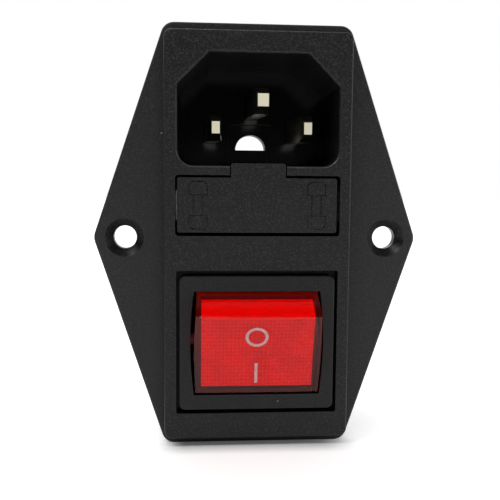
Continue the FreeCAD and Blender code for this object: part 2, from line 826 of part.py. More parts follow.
def rocker_carrier():
    # The plate that closes the rocker from below: pivots at its sides, a trough for the lamp and two
    # hollow legs.
    top_y = rocker_y - carrier_top
    rear_y = top_y + carrier_thick
    half_height = math.sqrt((rocker_r - carrier_end_gap) ** 2 - carrier_top ** 2)
    plate = block(-carrier_half_width, carrier_half_width, top_y, rear_y, switch_z - half_height,
                  switch_z + half_height)
    for side in (-1, 1):
        x0, x1 = sorted((side * (carrier_half_width - ear_thick), side * carrier_half_width))
        ear = rod("x", ear_r, point(x0, rocker_y, switch_z), ear_thick)
        below = block(x0, x1, top_y, rocker_y + ear_r, switch_z - ear_r, switch_z + ear_r)
        plate = plate.fuse(ear.common(below))
        x0, x1 = sorted((side * (carrier_half_width - ear_thick), side * trunnion_reach))
        plate = plate.fuse(rod("x", trunnion_r, point(x0, rocker_y, switch_z), x1 - x0))
        plate = plate.fuse(rod("y", leg_r, point(leg_x(side), rocker_y, switch_z), leg_length))
    trough_half = lamp_length / 2 + lamp_trough_end
    plate = plate.cut(rod("x", lamp_r + lamp_trough_gap,
                          point(-trough_half, rocker_y - lamp_height, switch_z), 2 * trough_half))
    for side in (-1, 1):
        plate = plate.cut(rod("y", plunger_r + plunger_gap, point(leg_x(side), rear_y, switch_z),
                              leg_length + past))
    return rocker_turn(plate.removeSplitter())


def neon_lamp():
    y = rocker_y - lamp_height
    half = lamp_length / 2
    tube = rod("x", lamp_r, point(-half, y, switch_z), lamp_length)
    tube = tube.makeFillet(lamp_end_r, [edge for edge in tube.Edges if edge.BoundBox.XMax < 1e-4 - half])
    pip = Part.makeCone(lamp_pip_r, lamp_pip_tip_r, lamp_pip_length,
                        point(-half + lamp_pip_tip_r, y, switch_z), point(-1, 0, 0))
    return rocker_turn(tube.fuse(pip))


def resistor_y():
    return rocker_y - carrier_top - resistor_r - lamp_lift


def lamp_resistor():
    body = rod("x", resistor_r, point(-resistor_length / 2, resistor_y(), switch_z - resistor_offset),
               resistor_length)
    ends = [edge for edge in body.Edges if edge.Closed and edge.BoundBox.XLength < 1e-4]
    return rocker_turn(body.makeFillet(resistor_end_r, ends))


def bent_wire(corners, bend_r):
    # A round wire along straight runs joined by tangent bends.
    path = []
    start = corners[0]
    for i in range(1, len(corners) - 1):
        bend_start, middle, bend_end = corner_arc(corners[i - 1], corners[i], corners[i + 1], bend_r)
        path.append(Part.LineSegment(start, bend_start).toShape())
        path.append(Part.Arc(bend_start, middle, bend_end).toShape())
        start = bend_end
    path.append(Part.LineSegment(start, corners[-1]).toShape())
    heading = (corners[1] - corners[0]).normalize()
    section = Part.Wire(Part.Circle(corners[0], heading, lead_d / 2).toShape())
    return Part.Wire(path).makePipeShell([section], True, False)


def lamp_leads():
    # Two bare wires: one straight from the lamp to the right end, one by way of the resistor.
    level = resistor_y()
    lamp_end = lamp_length / 2
    turn_x = lamp_end + lead_turn
    resistor_z = switch_z - resistor_offset
    reach = diffuser_half_width - diffuser_wall - lead_end_gap
    direct = rod("x", lead_d / 2, point(lamp_end, level, switch_z + lead_spread), reach - lamp_end)
    loop = bent_wire([point(lamp_end, level, switch_z - lead_spread),
                      point(turn_x, level, switch_z - lead_spread),
                      point(turn_x, level, resistor_z),
                      point(resistor_length / 2, level, resistor_z)], lead_d)
    exit_wire = rod("x", lead_d / 2, point(-reach, level, resistor_z), reach - resistor_length / 2)
    return rocker_turn(Part.makeCompound([direct, loop, exit_wire]))


def plunger(side):
    x = leg_x(side)
    ball_y = rocker_y + plunger_tip - plunger_r
    shaft_y = rocker_y + plunger_tip - plunger_shaft
    shaft = rod("y", plunger_r, point(x, shaft_y, switch_z), ball_y - shaft_y)
    ball = Part.makeSphere(plunger_r, point(x, ball_y, switch_z))
    spigot = rod("y", plunger_spigot_r, point(x, shaft_y - plunger_spigot, switch_z), plunger_spigot + lap)
    return rocker_turn(shaft.fuse(ball).fuse(spigot).removeSplitter())


def plunger_spring(side):
    # A coil between the top of the leg's bore and the plunger's shoulder. Its wire is eight-sided.
    top_y = rocker_y - carrier_top + carrier_thick
    radius = spring_wire_d / 2
    start_y = top_y + radius + spring_end_gap
    end_y = rocker_y + plunger_tip - plunger_shaft - radius - spring_end_gap
    height = end_y - start_y
    helix = Part.makeHelix(height / spring_turns, height, spring_r)
    corners = []
    for i in range(spring_wire_sides + 1):
        angle = 2 * math.pi * i / spring_wire_sides
        corners.append(point(spring_r + radius * math.cos(angle), 0, radius * math.sin(angle)))
    coil = Part.Wire(helix).makePipeShell([Part.makePolygon(corners)], True, True)
    coil.rotate(point(0, 0, 0), point(1, 0, 0), -90)
    coil.translate(point(leg_x(side), start_y, switch_z))
    return rocker_turn(coil)


# See-saw levers and terminals

def lever_turn(shape):
    # From level to the ON position: the upper arm goes down on the fixed contact.
    return turned(shape, -lever_tilt, fulcrum_y, switch_z)


def arm_drop():
    return lever_arm * math.tan(math.radians(lever_slope))


def pad_y(distance):
    # How far the lever's top surface stands above its middle, at a distance out along an arm.
    return arm_drop() + (distance - lever_arm) * math.tan(math.radians(lever_tilt))


def contact_point():
    # The place of the moving contact's face when the lever is in its ON position.
    angle = math.radians(lever_tilt)
    up = lever_thick + pad_y(contact_place)
    y = fulcrum_y - up * math.cos(angle) + contact_place * math.sin(angle) + lever_thick / math.cos(angle)
    z = switch_z + contact_place * math.cos(angle) + up * math.sin(angle)
    return y + contact_thick, z


def contact_lever(side):
    x = leg_x(side)
    top = lever_top_y
    upper = [(top - pad_y(lever_reach), -lever_reach), (top - arm_drop(), -lever_arm), (top, 0.0),
             (top - arm_drop(), lever_arm), (top - pad_y(lever_reach), lever_reach)]
    lower = [(y + lever_thick, s) for y, s in reversed(upper)]
    corners = [(y, switch_z + s) for y, s in upper + lower]
    strip = side_prism(corners, [0] * len(corners), x - lever_width / 2, x + lever_width / 2)
    strip = strip.cut(rod("x", notch_r, point(x - lever_width, fulcrum_y, switch_z), 2 * lever_width))
    face_y, z = contact_point()
    button = rod("y", contact_r, point(x, face_y - contact_thick - contact_margin, z),
                 contact_thick + contact_margin)
    return lever_turn(strip).fuse(button).removeSplitter()


def centre_terminal(side):
    # The lever's groove rocks on the bead along this plate's edge, between two prongs. The other end
    # is a tab.
    x = leg_x(side)
    top = fulcrum_y + fulcrum_gap
    gap = lever_width / 2 + prong_gap
    half = gap + prong_width
    thick = tab_thick / 2
    saddle = block(x - half, x + half, top - prong_height, tub_floor_y - terminal_gap,
                   switch_z - thick, switch_z + thick)
    saddle = saddle.cut(block(x - gap, x + gap, top - prong_height - past, top,
                              switch_z - past, switch_z + past))
    bead = rod("x", notch_r - fulcrum_gap, point(x - gap, fulcrum_y, switch_z), 2 * gap)
    tab = plate_tab(x, switch_z, terminal_width, tub_floor_y - lap, switch_tab_y, "x")
    return saddle.fuse(bead).fuse(tab).removeSplitter()


def end_terminal(side):
    # A bent strip: the pad carries the fixed contact and the leg leaves the back as a tab.
    x = leg_x(side)
    face_y, z = contact_point()
    top = face_y + contact_clear + contact_thick
    tab_z = switch_z + end_terminal_place
    outer = tab_z + tab_thick / 2
    inner = z - contact_r - contact_margin
    corners = [(top, inner), (top, outer), (tub_floor_y, outer), (tub_floor_y, outer - tab_thick),
               (top + tab_thick, outer - tab_thick), (top + tab_thick, inner)]
    strip = side_prism(corners, [0, tab_thick, 0, 0, 0, 0], x - terminal_width / 2, x + terminal_width / 2)
    button = rod("y", contact_r + contact_clear, point(x, face_y + contact_clear, z),
                 contact_thick + tab_thick / 2)
    tab = plate_tab(x, tab_z, terminal_width, tub_floor_y, switch_tab_y, "x")
    return strip.fuse(button).fuse(tab).removeSplitter()


def all_parts():
    parts = {"housing": housing(), "fuse_drawer": fuse_drawer(), "switch_body": switch_body(),
             "rocker_cap": rocker_cap(), "rocker_diffuser": rocker_diffuser(),
             "rocker_carrier": rocker_carrier(), "neon_lamp": neon_lamp(),
             "lamp_resistor": lamp_resistor(), "lamp_leads": lamp_leads()}
    for name, (x, z) in pin_places().items():
        parts[name] = earth_pin(x, z) if name == "earth_pin" else side_pin(x, z)
    for pole, side in (("line", -1), ("neutral", 1)):
        for piece, shape in fuse_parts(side).items():
            parts[pole + "_fuse_" + piece] = shape
        parts[pole + "_fuse_clip"] = fuse_clip(side)
        parts[pole + "_plunger"] = plunger(side)
        parts[pole + "_plunger_spring"] = plunger_spring(side)
        parts[pole + "_contact_lever"] = contact_lever(side)
        parts[pole + "_centre_terminal"] = centre_terminal(side)
        parts[pole + "_end_terminal"] = end_terminal(side)
    return parts


os.makedirs("parts", exist_ok=True)
for part_name, part_shape in all_parts().items():
    part_shape.exportStep("parts/" + part_name + ".step")
    print(part_name, "solids", len(part_shape.Solids), "volume", round(part_shape.Volume, 2),
          part_shape.isValid())
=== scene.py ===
import json
import math

import bmesh
import bpy
from mathutils import Matrix, Vector


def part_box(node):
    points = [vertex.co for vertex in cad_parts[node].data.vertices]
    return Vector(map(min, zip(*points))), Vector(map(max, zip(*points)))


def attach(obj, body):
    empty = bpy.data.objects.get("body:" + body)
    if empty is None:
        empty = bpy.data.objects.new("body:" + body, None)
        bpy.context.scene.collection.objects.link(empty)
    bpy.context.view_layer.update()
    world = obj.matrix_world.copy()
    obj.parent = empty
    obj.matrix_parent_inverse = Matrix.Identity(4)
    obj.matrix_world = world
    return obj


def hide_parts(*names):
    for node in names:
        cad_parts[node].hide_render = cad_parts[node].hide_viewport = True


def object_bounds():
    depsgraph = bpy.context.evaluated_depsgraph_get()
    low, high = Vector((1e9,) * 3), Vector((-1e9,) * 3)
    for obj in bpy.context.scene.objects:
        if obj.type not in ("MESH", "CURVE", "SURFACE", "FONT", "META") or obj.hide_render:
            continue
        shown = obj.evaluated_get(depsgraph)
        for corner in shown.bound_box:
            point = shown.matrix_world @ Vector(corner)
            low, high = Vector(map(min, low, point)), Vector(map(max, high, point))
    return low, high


mm = 0.001  # the scene is in metres, and the sizes below are in millimetres
noiseSpan = {"From Min": 0.3, "From Max": 0.7}  # nearly all the values of a noise texture
noiseCore = {"From Min": 0.35, "From Max": 0.65}  # the common ones
frontal = (-0.9, -0.98)  # y of the normal where a face turns to look straight to the front


# small helpers

def linear(hexColour):
    # sRGB hex to the linear values that the shaders take
    channels = [int(hexColour[i:i + 2], 16) / 255 for i in (1, 3, 5)]
    return [c / 12.92 if c <= 0.04045 else ((c + 0.055) / 1.055) ** 2.4 for c in channels] + [1.0]


def perMm(size):
    # texture scale at which one feature of a pattern is that many millimetres wide
    return 1 / (size * mm)


def joinUp(tree, node, links):
    # links are {socket: source}, where a source is an output, or a node for its first output
    for name, source in links.items():
        tree.links.new(source.outputs[0] if hasattr(source, "outputs") else source, node.inputs[name])


def addNode(tree, kind, settings=None, links=None):
    # settings go to the node's own options or to its sockets, hex colours among them
    node = tree.nodes.new(kind)
    for name, value in (settings or {}).items():
        if isinstance(name, str) and hasattr(node, name):
            setattr(node, name, value)
        else:
            isHex = isinstance(value, str)
            node.inputs[name].default_value = linear(value) if isHex else value
    joinUp(tree, node, links or {})
    return node


def startMaterial(name, shaderValues):
    material = bpy.data.materials.new(name)
    material.use_nodes = True
    tree = material.node_tree
    tree.nodes.clear()
    shader = addNode(tree, "ShaderNodeBsdfPrincipled", shaderValues)
    addNode(tree, "ShaderNodeOutputMaterial", links={"Surface": shader})
    place = addNode(tree, "ShaderNodeTexCoord").outputs["Object"]
    return material, tree, shader, place


def layered(tree, lowest, layers):
    # a colour or a number with others laid over it, each where its mask is 1
    for mask, upper in layers:
        isColour = isinstance(upper, str)
        below, above, result = (6, 7, 2) if isColour else (2, 3, 0)  # sockets of the mix
        settings = {"data_type": "RGBA" if isColour else "FLOAT", above: upper}
        links = {0: mask}
        if isinstance(lowest, str):
            settings[below] = lowest
        else:
            links[below] = lowest
        lowest = addNode(tree, "ShaderNodeMix", settings, links).outputs[result]
    return lowest


def within(tree, value, limit, soft=0.05, middle=0.0):
    # 1 where the value is nearer to the middle than the limit, all in mm
    offset = addNode(tree, "ShaderNodeMath", {"operation": "SUBTRACT", 1: middle * mm}, {0: value})
    size = addNode(tree, "ShaderNodeMath", {"operation": "ABSOLUTE"}, {0: offset})
    return addNode(tree, "ShaderNodeMapRange", {
        "From Min": limit * mm, "From Max": (limit + soft) * mm, "To Min": 1, "To Max": 0}, {"Value": size})


def allOf(tree, mask, *others):
    # the product of masks, which is 1 where all of them are
    for other in others:
        mask = addNode(tree, "ShaderNodeMath", {"operation": "MULTIPLY"}, {0: mask, 1: other})
    return mask


def between(tree, value, start, full, last, end):
    # 1 from the full value to the last, fading out to the start and the end, all in mm
    rise = addNode(tree, "ShaderNodeMapRange", {"From Min": start * mm, "From Max": full * mm},
                   {"Value": value})
    fall = addNode(tree, "ShaderNodeMapRange", {
        "From Min": last * mm, "From Max": end * mm, "To Min": 1, "To Max": 0}, {"Value": value})
    return allOf(tree, rise, fall)


def facing(tree, axis, low, high):
    # 1 where the surface's normal reaches the high value along an axis of the part, 0 at the low one
    normal = addNode(tree, "ShaderNodeTexCoord").outputs["Normal"]
    along = addNode(tree, "ShaderNodeSeparateXYZ", links={"Vector": normal}).outputs[axis]
    return addNode(tree, "ShaderNodeMapRange", {"From Min": low, "From Max": high}, {"Value": along})


def letLampsThrough(tree, shader, colour):
    # rays on their way to a lamp pass straight through, tinted, so that what lies inside is lit
    through = addNode(tree, "ShaderNodeBsdfTransparent", {"Color": colour})
    rays = addNode(tree, "ShaderNodeLightPath").outputs
    mix = addNode(tree, "ShaderNodeMixShader", links={0: rays["Is Shadow Ray"], 1: shader, 2: through})
    output = next(node for node in tree.nodes if node.type == "OUTPUT_MATERIAL")
    joinUp(tree, output, {"Surface": mix})


def meshPiece(name, bm, material, body, smooth=False):
    bmesh.ops.recalc_face_normals(bm, faces=bm.faces)
    mesh = bpy.data.meshes.new(name)
    bm.to_mesh(mesh)
    bm.free()
    mesh.materials.append(material)
    for face in mesh.polygons:
        face.use_smooth = smooth
    piece = bpy.data.objects.new(name, mesh)
    bpy.context.scene.collection.objects.link(piece)
    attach(piece, body)
    return piece


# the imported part

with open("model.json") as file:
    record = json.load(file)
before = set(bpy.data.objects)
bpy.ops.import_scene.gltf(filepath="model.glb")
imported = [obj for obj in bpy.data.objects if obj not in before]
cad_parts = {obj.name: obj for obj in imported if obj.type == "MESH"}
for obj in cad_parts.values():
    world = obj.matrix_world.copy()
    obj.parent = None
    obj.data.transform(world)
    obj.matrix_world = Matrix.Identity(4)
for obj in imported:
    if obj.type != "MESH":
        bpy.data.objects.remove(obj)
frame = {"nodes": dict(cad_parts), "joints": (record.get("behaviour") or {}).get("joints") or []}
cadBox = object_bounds()
nodes = frame["nodes"]
joints = {joint["name"]: joint for joint in frame["joints"]}
print("frame loaded with", len(nodes), "nodes")


# camera, placed where the photograph was taken from

photoCamera = {
    "place": (-9.39, -111.94, 7.97),  # mm, about 107 in front of the bezel, a little left and high
    "turn": (math.pi / 2 - 0.0900, -0.0764, 0.0012),  # radians, looking a little down and to the right
    "lens": 51.73,  # mm
    "sensor": 36.0,
    "nearest": 1.0,
}


def makeCamera():
    data = bpy.data.cameras.new("camera")
    data.lens = photoCamera["lens"]
    data.sensor_width = photoCamera["sensor"]
    data.clip_start = photoCamera["nearest"] * mm
    camera = bpy.data.objects.new("camera", data)
    camera.location = Vector(photoCamera["place"]) * mm
    camera.rotation_mode = "ZYX"
    camera.rotation_euler = photoCamera["turn"]
    bpy.context.scene.collection.objects.link(camera)
    bpy.context.scene.camera = camera


makeCamera()
print("camera placed")


# moulded plastics

nylon = {
    "bend": 1.53,
    "glintRange": {"From Min": 0.5, "From Max": 0.72},  # the grains that show paler
    "dustColour": "#a9a59c",
    "dustFade": 1.6,
    "dustRange": {"From Min": 0.7, "From Max": 0.72, "To Max": 0.7},  # few cells, partly covered
    "cloudDetail": 4.0,
    "grainDetail": 2.0,
}

housingNylon = {
    "colour": "#060607",
    "paler": "#0c0c0d",
    "glint": "#343436",
    "cloudMm": 6.0,  # slow change of grey along the flow of the melt
    "grainMm": 0.24,  # spark-eroded grain is about 0.05, drawn coarser so that it shows
    "grainDepthMm": 0.05,
    "roughness": (0.42, 0.60),
    "shine": 0.3,
    "cored": True,
    "speckMm": 3.4,  # one dust speck in a cell this wide, in some of the cells
    "speckSize": 0.028,  # share of the cell
}

drawerNylon = {
    **housingNylon,
    "cored": False,
    "engraved": (0.0, -4.98, 4.99),  # middle of the box round the grooves of the two fuse outlines
    "engravedReach": (10.8, 0.09, 3.75),
    "engravedEdge": 0.02,
    # painted shade in the engraved grooves
    "engravedColour": "#010101",
    "engravedRoughness": 0.1,
}

switchNylon = {
    "colour": "#060809",
    "paler": "#0b0d0f",
    "glint": "#26282b",
    "cloudMm": 5.0,
    "grainMm": 0.24,
    "grainDepthMm": 0.04,
    "roughness": (0.46, 0.58),
    "shine": 0.3,
    "cored": True,
    "speckMm": 4.0,
    "speckSize": 0.02,
}

carrierNylon = {
    "colour": "#6b463f",
    "paler": "#764f48",
    "glint": "#815c55",
    "cloudMm": 4.0,
    "grainMm": 0.3,
    "grainDepthMm": 0.004,
    "roughness": (0.45, 0.55),
    "shine": 0.4,
    "cored": False,
    "speckMm": 4.0,
    "speckSize": 0.0,
}

cores = {
    "halfWidth": 12.6,  # the hollows that open to the front lie within this box
    "halfHeight": 28.2,
    "depth": (-4.75, -4.45, 12.4, 12.6),  # from just behind the bezel's front to the base wall
    # painted shade: the walls inside the hollows are made near black
    "colour": "#020202",
    "baseDepth": (9.8, 10.2),  # the boss and the base wall lie behind this
    "baseRoughness": 0.15,
    "holeX": 20.0,
    "hole": {"limit": 2.9, "soft": 0.1},  # its radius
    "holeRoughness": 0.34,
    "rim": {"limit": 0.13, "soft": 0.02, "middle": -4.93},  # depth of the openings' rounded rims
    "rimUp": (0.05, 0.3),  # z of the normal, since only the rims that look up are rubbed smooth and given a painted highlight
    "rimRoughness": 0.24,
    "rimHighlightColour": "#3c3c3e",  # painted highlight on the rims that look up
    "flange": {"limit": 0.05, "middle": -2.7},
    # painted light: the flange's face is made paler than the same nylon elsewhere
    "flangeLitColour": "#1e1e20",
    "grainLevel": 0.5,  # the grain's mean height, where it is worn or polished flat
}


def coreMasks(tree, axes):
    # each is 1 on one kind of place: the walls inside the hollows, with painted shade, the polished base,
    # the screw holes, the rims of the openings that look up, with a painted highlight, and the face of the
    # flange, with painted light
    box = allOf(tree, within(tree, axes[0], cores["halfWidth"]), within(tree, axes[2], cores["halfHeight"]))
    hollow = allOf(tree, box, between(tree, axes[1], *cores["depth"]))
    start, full = cores["baseDepth"]
    deep = addNode(tree, "ShaderNodeMapRange", {"From Min": start * mm, "From Max": full * mm},
                   {"Value": axes[1]})
    mirrored = addNode(tree, "ShaderNodeMath", {"operation": "ABSOLUTE"}, {0: axes[0]})
    flat = addNode(tree, "ShaderNodeCombineXYZ", links={"X": mirrored, "Y": axes[2]})
    centre = (cores["holeX"] * mm, 0, 0)
    away = addNode(tree, "ShaderNodeVectorMath", {"operation": "DISTANCE", 1: centre}, {0: flat})
    return {
        "hollow": hollow,
        "base": allOf(tree, hollow, deep, facing(tree, 1, *frontal)),
        "hole": within(tree, away.outputs["Value"], **cores["hole"]),
        "rim": allOf(tree, box, within(tree, axes[1], **cores["rim"]), facing(tree, 2, *cores["rimUp"])),
        "flange": within(tree, axes[1], **cores["flange"]),
    }


def dustSpecks(tree, place, finish):
    # 1 on a few grains of pale dust
    cells = addNode(tree, "ShaderNodeTexVoronoi", {"Scale": perMm(finish["speckMm"])}, {"Vector": place})
    edge = {"From Min": finish["speckSize"], "From Max": finish["speckSize"] * nylon["dustFade"]}
    speck = addNode(tree, "ShaderNodeMapRange", {**edge, "To Min": 1, "To Max": 0},
                    {"Value": cells.outputs["Distance"]})
    chance = addNode(tree, "ShaderNodeSeparateColor", links={"Color": cells.outputs["Color"]})
    some = addNode(tree, "ShaderNodeMapRange", nylon["dustRange"], {"Value": chance})
    return allOf(tree, speck, some)


def engravedGrooves(tree, axes, finish):
    # 1 inside the box round the engraving, which starts a hair behind the face
    box = zip(axes, finish["engravedReach"], finish["engraved"])
    return allOf(tree, *[within(tree, axis, reach, finish["engravedEdge"], middle)
                         for axis, reach, middle in box])


def mouldedNylon(name, finish):
    # glass-filled polyamide from a spark-eroded mould: nearly black, with an even, fine, satin grain
    material, tree, shader, place = startMaterial(name, {
        "IOR": nylon["bend"], "Specular IOR Level": finish["shine"]})
    axes = addNode(tree, "ShaderNodeSeparateXYZ", links={"Vector": place}).outputs
    clouds = addNode(tree, "ShaderNodeTexNoise", {
        "Scale": perMm(finish["cloudMm"]), "Detail": nylon["cloudDetail"]}, {"Vector": place})
    grain = addNode(tree, "ShaderNodeTexNoise", {
        "Scale": perMm(finish["grainMm"]), "Detail": nylon["grainDetail"]}, {"Vector": place})
    low, high = finish["roughness"]
    rough = addNode(tree, "ShaderNodeMapRange", {**noiseSpan, "To Min": low, "To Max": high},
                    {"Value": grain})
    cloudy = addNode(tree, "ShaderNodeMapRange", noiseCore, {"Value": clouds})
    glints = addNode(tree, "ShaderNodeMapRange", nylon["glintRange"], {"Value": grain})
    masks = coreMasks(tree, axes) if finish["cored"] else {}
    colours = [(cloudy, finish["paler"])]
    if masks:
        # painted light on the face of the flange
        colours.append((masks["flange"], cores["flangeLitColour"]))
    colours.append((glints, finish["glint"]))
    if finish["speckSize"] > 0:
        colours.append((dustSpecks(tree, place, finish), nylon["dustColour"]))
    if "engraved" in finish:
        grooves = engravedGrooves(tree, axes, finish)
        # painted shade in the grooves
        colours.append((grooves, finish["engravedColour"]))
        rough = layered(tree, rough, [(grooves, finish["engravedRoughness"])])
    height = grain
    if masks:
        # painted shade on the walls inside the hollows, and a painted highlight on the rims that look up
        colours += [(masks["hollow"], cores["colour"]), (masks["rim"], cores["rimHighlightColour"])]
        worn = ("base", "hole", "rim")
        rough = layered(tree, rough, [(masks[kind], cores[kind + "Roughness"]) for kind in worn])
        height = layered(tree, height, [(masks[kind], cores["grainLevel"]) for kind in worn])
    bump = addNode(tree, "ShaderNodeBump", {"Distance": finish["grainDepthMm"] * mm}, {"Height": height})
    joinUp(tree, shader, {
        "Base Color": layered(tree, finish["colour"], colours), "Roughness": rough, "Normal": bump})
    return material


clearRed = {
    "colour": "#ea3216",
    "bend": 1.38,  # lowered from 1.58 until the film of reflection on the face fitted
    "roughness": 0.05,
    "waveMm": 5.0,  # slow waviness of a moulded face
    "waveDetail": 1.0,
    "waveDepthMm": 0.01,
}


def clearRedPolycarbonate():
    # from a polished mould, so its face is clear and glossy and tints what is behind it
    material, tree, shader, place = startMaterial("clearRedPolycarbonateMoulded", {
        "Base Color": clearRed["colour"], "Roughness": clearRed["roughness"],
        "IOR": clearRed["bend"], "Transmission Weight": 1.0})
    waves = addNode(tree, "ShaderNodeTexNoise", {
        "Scale": perMm(clearRed["waveMm"]), "Detail": clearRed["waveDetail"]}, {"Vector": place})
    bump = addNode(tree, "ShaderNodeBump", {"Distance": clearRed["waveDepthMm"] * mm}, {"Height": waves})
    joinUp(tree, shader, {"Normal": bump})
    letLampsThrough(tree, shader, clearRed["colour"])
    return material


redDiffuser = {
    "colour": "#fb5230",
    "deeper": "#ea4222",
    "cloudMm": 4.0,
    "ends": "#d4401e",  # painted shade: the round ends are made a deeper red
    "faceNormal": (0.0, -0.965, -0.262),
    "endRange": {"From Min": 0.65, "From Max": 0.8, "To Min": 1, "To Max": 0},  # turned away from the face
    "roughness": 0.35,
    "bend": 1.59,
}


def redStyrene():
    # milky red polystyrene, moulded: bright and even, with a soft satin face
    material, tree, shader, place = startMaterial("redPolystyreneMoulded", {
        "IOR": redDiffuser["bend"], "Roughness": redDiffuser["roughness"]})
    clouds = addNode(tree, "ShaderNodeTexNoise", {"Scale": perMm(redDiffuser["cloudMm"])}, {"Vector": place})
    cloudy = addNode(tree, "ShaderNodeMapRange", noiseCore, {"Value": clouds})
    normal = addNode(tree, "ShaderNodeTexCoord").outputs["Normal"]
    toFace = addNode(tree, "ShaderNodeVectorMath", {"operation": "DOT_PRODUCT", 1: redDiffuser["faceNormal"]},
                     {0: normal})
    end = addNode(tree, "ShaderNodeMapRange", redDiffuser["endRange"], {"Value": toFace.outputs["Value"]})
    # painted shade on the round ends
    colours = [(cloudy, redDiffuser["deeper"]), (end, redDiffuser["ends"])]
    joinUp(tree, shader, {"Base Color": layered(tree, redDiffuser["colour"], colours)})
    return material


acetal = {
    "colour": "#e8e5dc",
    "cloudMm": 3.0,
    "roughness": (0.32, 0.42),
    "bend": 1.48,
    "glow": 0.1,
    "glowMm": 0.5,
}


def turnedAcetal():
    # natural acetal, turned: waxy off-white with fine rings too small to see
    material, tree, shader, place = startMaterial("whiteAcetalTurned", {
        "Base Color": acetal["colour"], "IOR": acetal["bend"], "Subsurface Weight": acetal["glow"],
        "Subsurface Scale": acetal["glowMm"] * mm})
    clouds = addNode(tree, "ShaderNodeTexNoise", {"Scale": perMm(acetal["cloudMm"])}, {"Vector": place})
    low, high = acetal["roughness"]
    rough = addNode(tree, "ShaderNodeMapRange", {**noiseSpan, "To Min": low, "To Max": high},
                    {"Value": clouds})
    joinUp(tree, shader, {"Roughness": rough})
    return material


# metals

toolMarks = {
    "detail": 4.0,
    "fineness": 0.6,
    "darkRange": {"From Min": 0.3, "From Max": 0.75},
}

nickelPin = {
    "colour": "#e2dbc6",
    "darker": "#cbc5b2",
    "markMm": 0.5,  # drawing marks across the blade
    "stretch": (1.0, 0.12, 1.0),  # long along the pin
    "roughness": (0.16, 0.24),
    "bumpMm": 0.0012,
    "tip": "#eee8d0",  # the coined end is matt, and painted paler as a painted highlight
    "tipRoughness": 0.62,
}

tinTab = {
    "colour": "#cfccc4",
    "darker": "#aeaaa0",
    "markMm": 0.7,
    "stretch": (1.0, 0.15, 1.0),
    "roughness": (0.34, 0.52),
    "bumpMm": 0.005,
}

brassTab = {
    "colour": "#d9b56a",
    "darker": "#b98f48",
    "markMm": 0.6,
    "stretch": (1.0, 0.15, 1.0),
    "roughness": (0.26, 0.42),
    "bumpMm": 0.004,
}

copperLever = {
    "colour": "#d08a63",
    "darker": "#a9623f",
    "markMm": 0.5,
    "stretch": (1.0, 1.0, 0.15),
    "roughness": (0.24, 0.38),
    "bumpMm": 0.004,
}

nickelCap = {
    "colour": "#dcd9d2",
    "darker": "#c3bfb5",
    "markMm": 0.35,
    "stretch": (0.3, 1.0, 0.3),  # rings round the drawn cap
    "roughness": (0.16, 0.28),
    "bumpMm": 0.002,
}

tinnedWire = {
    "colour": "#c8c8c6",
    "darker": "#a5a5a3",
    "markMm": 0.2,
    "stretch": (0.2, 1.0, 1.0),
    "roughness": (0.3, 0.45),
    "bumpMm": 0.001,
}

springWire = {
    "colour": "#b4b2ad",
    "darker": "#8d8a84",
    "markMm": 0.25,
    "stretch": (1.0, 1.0, 1.0),
    "roughness": (0.25, 0.4),
    "bumpMm": 0.002,
}


def workedMetal(name, finish):
    # stamped, drawn or plated strip: the marks of the tool run one way and break the highlight up
    material, tree, shader, place = startMaterial(name, {"Metallic": 1.0})
    along = addNode(tree, "ShaderNodeMapping", {"Scale": finish["stretch"]}, {"Vector": place})
    marks = addNode(tree, "ShaderNodeTexNoise", {
        "Scale": perMm(finish["markMm"]), "Detail": toolMarks["detail"], "Roughness": toolMarks["fineness"]},
        {"Vector": along})
    dark = addNode(tree, "ShaderNodeMapRange", toolMarks["darkRange"], {"Value": marks})
    low, high = finish["roughness"]
    rough = addNode(tree, "ShaderNodeMapRange", {**noiseSpan, "To Min": low, "To Max": high},
                    {"Value": marks})
    colours = [(dark, finish["darker"])]
    if "tip" in finish:
        # painted highlight: the end that faces the front is paler, and it is rougher
        end = facing(tree, 1, *frontal)
        colours.append((end, finish["tip"]))
        rough = layered(tree, rough, [(end, finish["tipRoughness"])])
    bump = addNode(tree, "ShaderNodeBump", {"Distance": finish["bumpMm"] * mm}, {"Height": marks})
    joinUp(tree, shader, {
        "Base Color": layered(tree, finish["colour"], colours), "Roughness": rough, "Normal": bump})
    return material


# glass, enamel and ink

fuseGlass = {
    "colour": "#f4f8f6",
    "roughness": (0.0, 0.04),
    "bend": 1.52,
    "smearMm": 4.0,
    "smearDetail": 3.0,
    "smearRange": {"From Min": 0.45, "From Max": 0.7},
}


def drawnGlass(name, finish):
    # drawn soda-lime tube: clear, with hard highlights and faint finger marks
    material, tree, shader, place = startMaterial(name, {
        "Base Color": finish["colour"], "IOR": finish["bend"], "Transmission Weight": 1.0})
    smear = addNode(tree, "ShaderNodeTexNoise", {
        "Scale": perMm(finish["smearMm"]), "Detail": finish["smearDetail"]}, {"Vector": place})
    low, high = finish["roughness"]
    rough = addNode(tree, "ShaderNodeMapRange", {**finish["smearRange"], "To Min": low, "To Max": high},
                    {"Value": smear})
    joinUp(tree, shader, {"Roughness": rough})
    letLampsThrough(tree, shader, finish["colour"])
    return material


enamel = {
    "colour": "#c8ad7f",
    "deeper": "#b8996a",
    "roughness": 0.28,
    "lumpMm": 0.6,
    "lumpDepthMm": 0.02,
}


